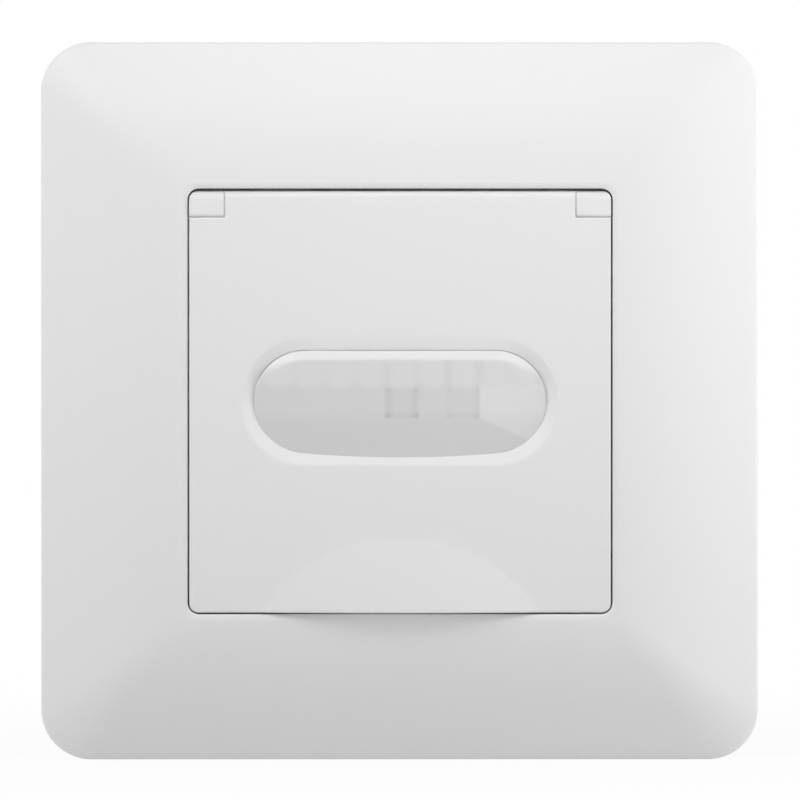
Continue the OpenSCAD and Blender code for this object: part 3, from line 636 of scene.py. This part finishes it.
def milk(pen):
    """Milky plastic with a faint cloud and darker seams between cell columns; painted light lifts the upper
    row, the brow and the right end, and painted shade darkens the lower band and two framed squares.
    """
    place = pen.add("TexCoord", out="Object")
    x = pen.add("SeparateXYZ", {}, {0: place}, out="X") / MM
    z = pen.add("SeparateXYZ", {}, {0: place}, out="Z") / MM
    column = (x - CELL_SHIFT) / CELL_W + 0.5
    side = abs(column - math.floor(column) - 0.5)
    seam = side.ease(*SEAM_SPAN)
    seam_count = math.floor(column + 0.5)
    strength = pen.add("TexWhiteNoise", {"noise_dimensions": "1D"}, {"W": seam_count})
    # Painted light: the upper row of the lens is lighter, for light coming in from above; the darker seams
    # across it are the cell pattern.
    scallop = ROW_UPPER - SCALLOP_LOW + side * side * SCALLOP_RISE
    upper = (z - scallop).ease(-UPPER_SOFT, UPPER_SOFT)
    # Painted shade: the lower band of the lens is darker.
    lower = 1 - z.ease(ROW_LOWER - LOWER_SOFT, ROW_LOWER + LOWER_SOFT)
    # Painted light: the right end of the lens is lighter, where light from the upper right passes into it.
    run = x - RIGHT_LIGHT_FROM
    right_light_edge = ROW_LOWER - run * RIGHT_LIGHT_SLOPE
    right_end_light = run.ease(-RIGHT_LIGHT_SIDE, RIGHT_LIGHT_SIDE) * (z - right_light_edge).ease(*RIGHT_LIGHT_FOOT) * (1 - upper)
    # Painted highlight: the bevelled brow along the top of the lens is made lighter.
    over = abs(x) - lens_end
    over = over.maths("MAXIMUM", over, 0.0)
    span = over * over + z * z
    outline_in = lens_h / 2 - span.maths("SQRT", span)
    rim = 1 - outline_in.ease(BROW_W - BROW_HIGHLIGHT_SOFT, BROW_W + BROW_HIGHLIGHT_SOFT)
    brow_highlight = rim * z.ease(BROW_FROM * lens_h, BROW_HIGHLIGHT_FULL * lens_h)
    upper_light_and_seams = upper * (1 - brow_highlight) * (UPPER_LIGHT_TONE - seam * (strength * SEAM_TONE + SEAM_LEAST))
    tone = MILK_TONE + upper_light_and_seams + brow_highlight * BROW_HIGHLIGHT_TONE - lower * LOWER_SHADE_TONE + right_end_light * RIGHT_LIGHT_TONE

    def pane_shade(centre, left, weight):
        """Painted shade over one cell, for the darkness of the parts behind the lens: a darker frame at its
        sides and foot, and dark spots at its corners.
        """
        off = x - CELL_SHIFT - centre * CELL_W
        spread = abs(off)
        height = abs(z - ROW_LOWER - CELL_H / 2)
        within = (1 - spread.ease(*PANE_SIDE)) * (1 - height.ease(*PANE_TOP))
        flank = spread.ease(*FLANK_SPAN) * (off.ease(-FLANK_TURN, FLANK_TURN) * (1 - left) + left)
        sill = 1 - (z - ROW_LOWER).ease(0.0, SILL_H)
        spots = spread.ease(*SPOT_SIDE) * height.ease(*SPOT_TOP)
        dark = flank * FLANK_TONE + sill * SILL_TONE + spots * SPOT_TONE + PANE_TONE
        return within * dark * weight

    # Painted shade on the middle cell and on the cell two to the right.
    tone = tone - pane_shade(centre=0, left=1.0, weight=0.11) - pane_shade(centre=2, left=0.3, weight=0.065)
    cloud = pen.add("TexNoise", {}, {"Vector": place, "Scale": MILK_CLOUD, "Detail": 3.0})
    return {
        "Base Color": (tone + (cloud - 0.5) * MILK_MOTTLE).blend((0, 0, 0, 1), (1, 1, 1, 1)),
        "Roughness": MILK_ROUGH + (cloud - 0.5) * MILK_GLOSS,
    }


lens_milk_and_painted_light = finish("lens_milk_and_painted_light", {"IOR": 1.52}, milk)
lens_window = lens_form.piece("lens_window", lens_milk_and_painted_light)
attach(lens_window, "flap")
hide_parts("fresnel_lens")
dress(housing_grey, "lens_retainer", edge=0.12)


# Hinged cover: a shallow white tray that hangs on two pins, with a sloping recess round the lens,
# a finger lip along its foot and walls on three sides. Moulded in one piece, satin outside.
COVER_WALL = 1.6
COVER_SIDE = 1.3
COVER_R = 1.0
TOP_ROUND = 0.9
EDGE_ROUND = 0.3
BEVEL_TOP = 0.22
BEVEL_ENDS = 1.1
BEVEL_FOOT = 0.8
BEVEL_RISE = 0.12
BEVEL_SOFT = 0.07
BEVEL_BEYOND = 0.4
HOLE_FADE = 2
ENDS_AT_FOOT = 0.2
LIP_R = 19.0
LIP_H = 8.3
LIP_SOFT = 0.04
LUG_W = 3.85
NOTCH_GAP = 0.03
NOTCH_SCOOP = 1.0
WALL_SOFT = 0.15
WALL_DRAFT = 0.15
BARREL_CLEAR = 0.02
BARREL_SOFT = 0.1
PIN_R = 0.7
PIN_L = 2.4
PIN_SOFT = 0.2
STAKE_R = 0.8
STAKE_HEAD = 1.25
STAKE_CLEAR = 0.02
STAKE_X = 8.0
STAKE_Z = 8.45
STAKE_DOME = ((1.0, 0.0), (0.94, 0.14), (0.7, 0.24), (0.3, 0.28))
OUTLINE_STEP = 0.5
FOOT_STEP = 0.3
WALL_STEP = 4
FOOT_ARC = 8
EDGE_MARGIN = 0.06
EDGE_RINGS = 8
EDGE_EASE = 1.6
FACE_RINGS = 90
FACE_EASE = 0.9
BEVEL_SHARES = (0, 0.1, 0.22, 0.34, 0.46, 0.56, 0.64, 0.7, 0.76, 0.82, 0.88, 0.94)
cover_low, cover_high = (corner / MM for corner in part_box("hinged_cover"))
cover_half = cover_high.x
cover_inner = cover_face + COVER_WALL
lip_proud = cover_face - cover_low.y
lip_z = LIP_H - cover_half - LIP_R
hinge_y = joints["cover_hinge"]["pos_m"][1] / MM
hinge_z = joints["cover_hinge"]["pos_m"][2] / MM
barrel_r = cover_half - hinge_z
tongue = cover_half - LUG_W - NOTCH_GAP
notch_z = hinge_z - barrel_r - NOTCH_GAP


def cover_depth(x, z, inset):
    """Front of the cover: flat face, lens recess, finger lip, full round at the top and small edges."""
    below = clamp(0.5 - z / lens_h)
    ends = BEVEL_ENDS * clamp(abs(x) / lens_end - 1)
    foot = BEVEL_FOOT + ends * ENDS_AT_FOOT - BEVEL_RISE * clamp(1 - (x / lens_end) ** 2)
    recess = mix(BEVEL_TOP + ends, foot, below)
    slope = recess * (LENS_CLEAR + BEVEL_W - from_stadium(x, z)) / BEVEL_W
    lip = lip_proud * (LIP_R - math.hypot(x, z - lip_z)) / LIP_H
    drop = max(rounding(TOP_ROUND, cover_half - z), rounding(EDGE_ROUND, inset))
    return cover_face + soft_max(slope, 0, BEVEL_SOFT) - soft_max(lip, 0, LIP_SOFT) + drop


def along(path, step):
    """Points along a path of corners, evenly set within each leg, the last corner left out."""
    points = []
    for (x0, z0), (x1, z1) in zip(path, path[1:]):
        count = max(1, round(math.hypot(x1 - x0, z1 - z0) / step))
        points.extend((mix(x0, x1, k / count), mix(z0, z1, k / count)) for k in range(count))
    return points


def corner_arc(x, z, radius, start, steps):
    """A quarter turn about (x, z), anticlockwise from a start angle in degrees."""
    turns = [math.radians(start + 90 * k / steps) for k in range(steps + 1)]
    return [(x + radius * math.cos(t), z + radius * math.sin(t)) for t in turns]


tray_r = cover_half - COVER_R
left_foot = corner_arc(-tray_r, -tray_r, COVER_R, 180, FOOT_ARC)
right_foot = corner_arc(tray_r, -tray_r, COVER_R, 270, FOOT_ARC)
left_notch = [(-tongue, cover_half), (-tongue, notch_z), (-cover_half, notch_z)]
right_notch = [(cover_half, notch_z), (tongue, notch_z), (tongue, cover_half)]
outline = along([right_notch[-1], *left_notch, left_foot[0]], OUTLINE_STEP) + left_foot[:-1]
outline += along([left_foot[-1], right_foot[0]], FOOT_STEP) + right_foot[:-1]
outline += along([right_foot[-1], *right_notch], OUTLINE_STEP)


def inward(points, closed=True):
    """For each point of an anticlockwise outline, the mitred step that moves it one unit inward."""
    steps = []
    for k, here in enumerate(points):
        before = points[k - 1] if closed or k else here
        after = points[(k + 1) % len(points)] if closed or k + 1 < len(points) else here
        one = Vector((here[0] - before[0], here[1] - before[1]))
        two = Vector((after[0] - here[0], after[1] - here[1]))
        one = (one if one.length else two).normalized()
        two = (two if two.length else one).normalized()
        normal = Vector((-one.y - two.y, one.x + two.x))
        steps.append(normal * 2 / normal.length_squared)
    return steps


steps_in = inward(outline)
edge_zone = EDGE_ROUND + EDGE_MARGIN
cover_rays = []
for (x, z), step in zip(outline, steps_in):
    spot = (x * lens_end / cover_half, 0.0)
    way = Vector((x - spot[0], z)).normalized()
    hole = reach(spot, way, from_lens, mix(LENS_REST, LENS_CLEAR, clamp(way.y * HOLE_FADE)))
    brow = reach(spot, way, from_stadium, LENS_CLEAR + BEVEL_W + BEVEL_BEYOND)
    near = Vector((spot[0] + way.x * hole, way.y * hole))
    far = Vector((spot[0] + way.x * brow, way.y * brow))
    cover_rays.append((near, far, Vector((x, z)) + step * edge_zone, Vector((x, z)), step))

cover_rings = [[(near.x, cover_inner, near.y) for near, far, zone, rim, step in cover_rays]]
for share in BEVEL_SHARES:
    spots = [near.lerp(far, share) for near, far, zone, rim, step in cover_rays]
    cover_rings.append([(p.x, cover_depth(p.x, p.y, edge_zone), p.y) for p in spots])
for k in range(FACE_RINGS + 1):
    share = math.sin(math.pi / 2 * k / FACE_RINGS) ** FACE_EASE
    spots = [far.lerp(zone, share) for near, far, zone, rim, step in cover_rays]
    cover_rings.append([(p.x, cover_depth(p.x, p.y, edge_zone), p.y) for p in spots])
for k in range(1, EDGE_RINGS + 1):
    inset = edge_zone * (1 - k / EDGE_RINGS) ** EDGE_EASE
    spots = [rim + step * inset for near, far, zone, rim, step in cover_rays]
    cover_rings.append([(p.x, cover_depth(p.x, p.y, inset), p.y) for p in spots])
cover_back = []
for x, z in outline:
    scoop = NOTCH_SCOOP if z == notch_z else 0
    cover_back.append((x, cover_inner, z - scoop))
cover_rings.append(cover_back)
cover_form = Form()
cover_form.loft(cover_rings, loop=True)

wall_top = notch_z - NOTCH_SCOOP
wall_path = along([(-cover_half, wall_top), left_foot[0]], WALL_STEP) + left_foot
wall_path += along([left_foot[-1], right_foot[0]], WALL_STEP)[1:] + right_foot
wall_path.append((cover_half, wall_top))
wall_back = cover_high.y
wall_sections = []
for (x, z), step in zip(wall_path, inward(wall_path, closed=False)):
    section = []
    for inset, depth in (
        (0, cover_inner),
        (WALL_DRAFT, wall_back - WALL_SOFT),
        (WALL_DRAFT + WALL_SOFT, wall_back),
        (COVER_SIDE - WALL_SOFT, wall_back),
        (COVER_SIDE, wall_back - WALL_SOFT),
        (COVER_SIDE, cover_inner),
    ):
        section.append((x + step.x * inset, depth, z + step.y * inset))
    wall_sections.append(section)
cover_form.loft(wall_sections, caps=True)


def rod(radius, end, soft):
    """Profile of a rod that reaches as far on either side, with chamfered ends."""
    return [(radius - soft, -end), (radius, soft - end), (radius, end - soft), (radius - soft, end)]


hinge = (0, hinge_y, hinge_z)
cover_form.turned(rod(barrel_r - BARREL_CLEAR, tongue, BARREL_SOFT), hinge, "x")
cover_form.turned(rod(PIN_R, tongue + PIN_L, PIN_SOFT), hinge, "x", steps=24)
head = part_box("lens_retainer")[1].y / MM + STAKE_CLEAR
stake = [(STAKE_R, cover_inner), (STAKE_R, head)]
stake += [(STAKE_HEAD * share, head + rise) for share, rise in STAKE_DOME]
for x in (-STAKE_X, STAKE_X):
    for z in (-STAKE_Z, STAKE_Z):
        cover_form.turned(stake, (x, 0, z), "y", steps=28)
cover_shell = cover_form.piece("cover_shell", shell_white)
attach(cover_shell, "flap")
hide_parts("hinged_cover")


# Cover plate: a white pillow with a square opening, moulded hollow, that falls from the opening to
# a thin edge on the wall in one even curve. Four hooks behind it snap into the support frame.
PLATE_R = 5.6
PLATE_EDGE = 3.2
PLATE_WALL = 1.8
PLATE_EDGE_ROUND = 0.6
RIM_ROUND = 1.1
RIM_TURN = 40
SKIRT_T = 1.2
SKIRT_GAP = 0.3
COVER_GAP = 0.28
SIDE_IN = 0.1
FOOT_IN = 0.11
SIDE_RUN = 1.5
CORNER_EASE = 1.5
CROWN_FALL = 1.35
HOOK_X = 27.5
HOOK_Z = 12.0
HOOK_W = 5.0
HOOK_T = 1.4
BARB = 0.6
HOOK_CLEAR = 0.25
PLATE_ARC = 20
EDGE_STEPS = 8
CROWN_STEPS = 48
RIM_RINGS = 10
INNER_STEPS = 24
plate_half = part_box("cover_plate")[1].x / MM
hook_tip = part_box("cover_plate")[1].y / MM
opening = cover_half + COVER_GAP
opening_r = COVER_R + COVER_GAP
skirt_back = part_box("support_frame")[0].y / MM - SKIRT_GAP
rise = -cover_face - PLATE_EDGE
crown_from = plate_half - PLATE_EDGE_ROUND / 2
rim_turn = math.radians(RIM_TURN)
rim_start = -math.atan(rise * (3 - 2 * CROWN_FALL) / (crown_from - opening))
crown_to = opening + RIM_ROUND * (math.sin(rim_turn) - math.sin(rim_start))
edge_turn = math.pi / 2 - math.atan(CROWN_FALL * rise / (crown_from - crown_to))


def crown(half):
    """Height of the plate over the wall on the ring that lies this far from its middle."""
    share = clamp((crown_from - half) / (crown_from - crown_to))
    return PLATE_EDGE + rise * (CROWN_FALL * share - (CROWN_FALL - 1) * share ** 3)


def plate_ring(half, depth):
    """A rounded square whose corners tighten towards the opening, where sides and foot come in a little."""
    share = (half - opening) / (plate_half - opening)
    radius = mix(opening_r, PLATE_R, share ** CORNER_EASE)
    middle = half - radius
    nearness = clamp(1 - (half - opening) / SIDE_RUN)
    side = middle - SIDE_IN * nearness
    foot = middle - FOOT_IN * nearness
    ring = []
    for k, (sx, sz) in enumerate(((1, 1), (-1, 1), (-1, -1), (1, -1))):
        for x, z in corner_arc(sx * side, middle if sz > 0 else -foot, radius, 90 * k, PLATE_ARC):
            ring.append((x, depth, z))
    return ring


edge_y = PLATE_EDGE - PLATE_EDGE_ROUND * math.sin(edge_turn)
profile = [(plate_half, 0)]
for k in range(EDGE_STEPS + 1):
    turn = edge_turn * k / EDGE_STEPS
    half = plate_half - PLATE_EDGE_ROUND * (1 - math.cos(turn))
    profile.append((half, -edge_y - PLATE_EDGE_ROUND * math.sin(turn)))
crown_start = profile[-1][0]
for k in range(1, CROWN_STEPS + 1):
    half = mix(crown_start, crown_to, k / CROWN_STEPS)
    profile.append((half, -crown(half)))
for k in range(1, RIM_RINGS + 1):
    turn = mix(rim_start, rim_turn, k / RIM_RINGS)
    half = opening + RIM_ROUND * (math.sin(rim_turn) - math.sin(turn))
    profile.append((half, cover_face + RIM_ROUND * (math.cos(rim_start) - math.cos(turn))))
profile.append((opening, skirt_back))
profile.append((opening + SKIRT_T, skirt_back))
for k in range(INNER_STEPS + 1):
    half = mix(opening + SKIRT_T, plate_half - PLATE_WALL, k / INNER_STEPS)
    profile.append((half, PLATE_WALL - crown(half)))
profile.append((plate_half - PLATE_WALL, 0))
plate_form = Form()
plate_form.loft([plate_ring(*section) for section in profile], loop=True)
leg_front = PLATE_WALL / 2 - crown(HOOK_X)
hook = [
    (-HOOK_T / 2, leg_front),
    (HOOK_T / 2, leg_front),
    (HOOK_T / 2, HOOK_CLEAR),
    (HOOK_T / 2 + BARB, HOOK_CLEAR),
    (HOOK_T / 2, hook_tip),
    (-HOOK_T / 2, hook_tip),
]
for side in (-1, 1):
    for middle in (-HOOK_Z, HOOK_Z):
        ends = (middle - HOOK_W / 2, middle + HOOK_W / 2)
        plate_form.loft([[(side * (HOOK_X + x), y, z) for x, y in hook] for z in ends], caps=True)
plate_shell = plate_form.piece("plate_shell", shell_white)
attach(plate_shell, "base")
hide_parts("cover_plate")


# Studio: a pale floor and a white surround, with the strongest soft box at the upper left, weaker ones
# above, at the upper right and at both sides, and a soft spot from in front on the upper part.
# The camera stands straight in front, a little above the middle.
FLOOR_HALF = 2.0
FLOOR_PAINT = (0.8, 0.8, 0.8, 1)
FLOOR_SHOWN = 0.92
FLOOR_FADE = (0.06, 0.2)
FLOOR_BOUNCE = 0.3
WHITE = (1, 1, 1, 1)
floor_z = cad_low.z / MM
floor_end = FLOOR_HALF / MM
floor_form = Form()
floor_near = [(-floor_end, -floor_end, floor_z), (floor_end, -floor_end, floor_z)]
floor_far = [(-floor_end, floor_end, floor_z), (floor_end, floor_end, floor_z)]
floor_form.loft([floor_near, floor_far], around=False)


def seen_directly(pen):
    """One where the ray comes from the camera, a mirror-like surface or a clear one."""
    camera_ray = pen.add("LightPath", out="Is Camera Ray")
    glossy_ray = pen.add("LightPath", out="Is Glossy Ray")
    through_ray = pen.add("LightPath", out="Is Transmission Ray")
    return pen.maths("MAXIMUM", pen.maths("MAXIMUM", camera_ray, glossy_ray), through_ray)


floor_paint = bpy.data.materials.new("floor_paint")
floor_paint.use_nodes = True
floor_paint.node_tree.nodes.remove(floor_paint.node_tree.nodes["Principled BSDF"])
pen = Wire(floor_paint.node_tree)
place = pen.add("TexCoord", out="Object")
away = pen.add("VectorMath", {"operation": "LENGTH"}, {0: place}, out="Value")
shown = away.ease(*FLOOR_FADE) * (1 - FLOOR_SHOWN) + FLOOR_SHOWN
paint = pen.add("BsdfDiffuse", {}, {"Color": FLOOR_PAINT})
glow = pen.add("Emission", {}, {"Color": WHITE, "Strength": 1.0})
share = seen_directly(pen) * (shown - FLOOR_BOUNCE) + FLOOR_BOUNCE
surface = pen.add("MixShader", {}, {0: share, 1: paint, 2: glow})
floor_output = floor_paint.node_tree.nodes["Material Output"]
floor_paint.node_tree.links.new(surface.socket, floor_output.inputs["Surface"])
floor = floor_form.piece("floor", floor_paint)

SURROUND = 0.129
BEHIND_FADE = 0.3
world = bpy.data.worlds.new("surround")
bpy.context.scene.world = world
world.use_nodes = True
pen = Wire(world.node_tree)
fill = pen.add("Background", {}, {"Color": WHITE, "Strength": SURROUND})
white = pen.add("Background", {}, {"Color": WHITE, "Strength": 1.0})
direction = pen.add("TexCoord", out="Generated")
behind = pen.add("SeparateXYZ", {}, {0: direction}, out="Y").ease(0.0, BEHIND_FADE)
around = pen.add("MixShader", {}, {0: behind, 1: fill, 2: white})
sky = pen.add("MixShader", {}, {0: seen_directly(pen), 1: around, 2: white})
world.node_tree.links.new(sky.socket, world.node_tree.nodes["World Output"].inputs["Surface"])


def stand(name, lamp, place, aim):
    """Puts a lamp in its place, facing the point that it lights."""
    made = bpy.data.objects.new(name, lamp)
    made.location = place
    made.rotation_euler = (Vector(place) - Vector(aim)).to_track_quat("Z", "Y").to_euler()
    bpy.context.scene.collection.objects.link(made)


def soft_box(name, place, size, power):
    """A square soft box that faces the middle of the switch."""
    lamp = bpy.data.lights.new(name, "AREA")
    lamp.size = size
    lamp.energy = power
    stand(name, lamp, place, (0, 0, 0))


def soft_spot(name, place, aim, angle, size, power):
    """A round lamp whose light fades evenly from where it aims to the rim of its cone."""
    lamp = bpy.data.lights.new(name, "SPOT")
    lamp.spot_size = math.radians(angle)
    lamp.spot_blend = 1.0
    lamp.shadow_soft_size = size
    lamp.energy = power
    stand(name, lamp, place, aim)


soft_box("above", place=(0, -0.12, 0.2), size=0.1, power=0.111)
soft_box("upper_left", place=(-0.3, -0.3, 0.35), size=0.25, power=0.92)
soft_box("upper_right", place=(0.2, -0.2, 0.2), size=0.1, power=0.145)
soft_box("left", place=(-0.3, -0.04, 0.04), size=0.12, power=0.082)
soft_box("right", place=(0.25, -0.04, 0.04), size=0.12, power=0.225)
soft_spot("front", place=(0, -0.7, 0.1), aim=(0.015, -0.009, 0.05), angle=9, size=0.06, power=3.35)

CAMERA_AWAY = 1.2
CAMERA_RISE = 1.0
CAMERA_SIDE = -0.35
VIEW_W = 0.08942
AIM = Vector((0.00004, 0, 0.00005))
camera_data = bpy.data.cameras.new("camera")
camera_data.lens = camera_data.sensor_width * CAMERA_AWAY / VIEW_W
camera = bpy.data.objects.new("camera", camera_data)
tilt = math.radians(CAMERA_RISE)
turn = math.radians(CAMERA_SIDE)
back = Vector((math.sin(turn) * math.cos(tilt), -math.cos(turn) * math.cos(tilt), math.sin(tilt)))
camera.location = AIM + back * CAMERA_AWAY
camera.rotation_euler = back.to_track_quat("Z", "Y").to_euler()
bpy.context.scene.collection.objects.link(camera)
bpy.context.scene.camera = camera
bpy.context.scene.view_settings.view_transform = "Standard"
